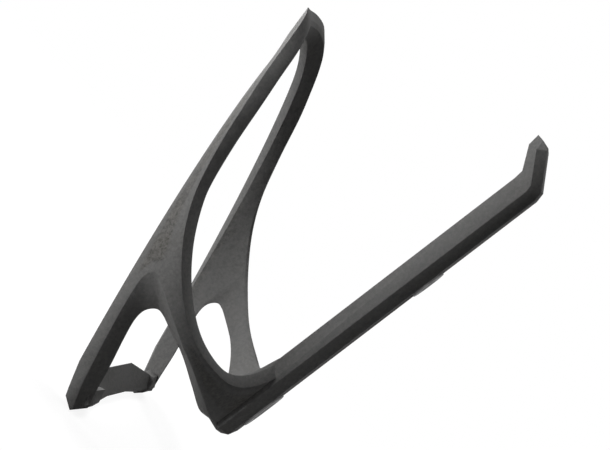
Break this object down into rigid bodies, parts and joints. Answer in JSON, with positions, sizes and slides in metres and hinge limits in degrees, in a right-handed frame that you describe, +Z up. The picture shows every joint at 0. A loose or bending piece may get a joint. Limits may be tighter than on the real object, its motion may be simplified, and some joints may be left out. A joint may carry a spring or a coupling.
{
  "type": "bicycle bottle cage",
  "caption": "Moulded black bicycle bottle cage with an inclined holding loop, a spine rail with a neck hook, and metal bolt sleeves.",
  "frame": {"origin": "on the rail's back face, midway between the two frame bolts", "axes": "+Z up along the bottle, +Y out of the back face towards the bicycle frame tube, +X to the side; the bottle is on the -Y side"},
  "size_m": [0.083, 0.0896, 0.1561],
  "materials": {
    "nylon": "matte, finely mottled glass-filled nylon",
    "sleeve": "plain satin"
  },
  "bodies": {
    "root": {"cage_body": "nylon", "upper_bolt_sleeve": "sleeve", "lower_bolt_sleeve": "sleeve"}
  },
  "joints": []
}
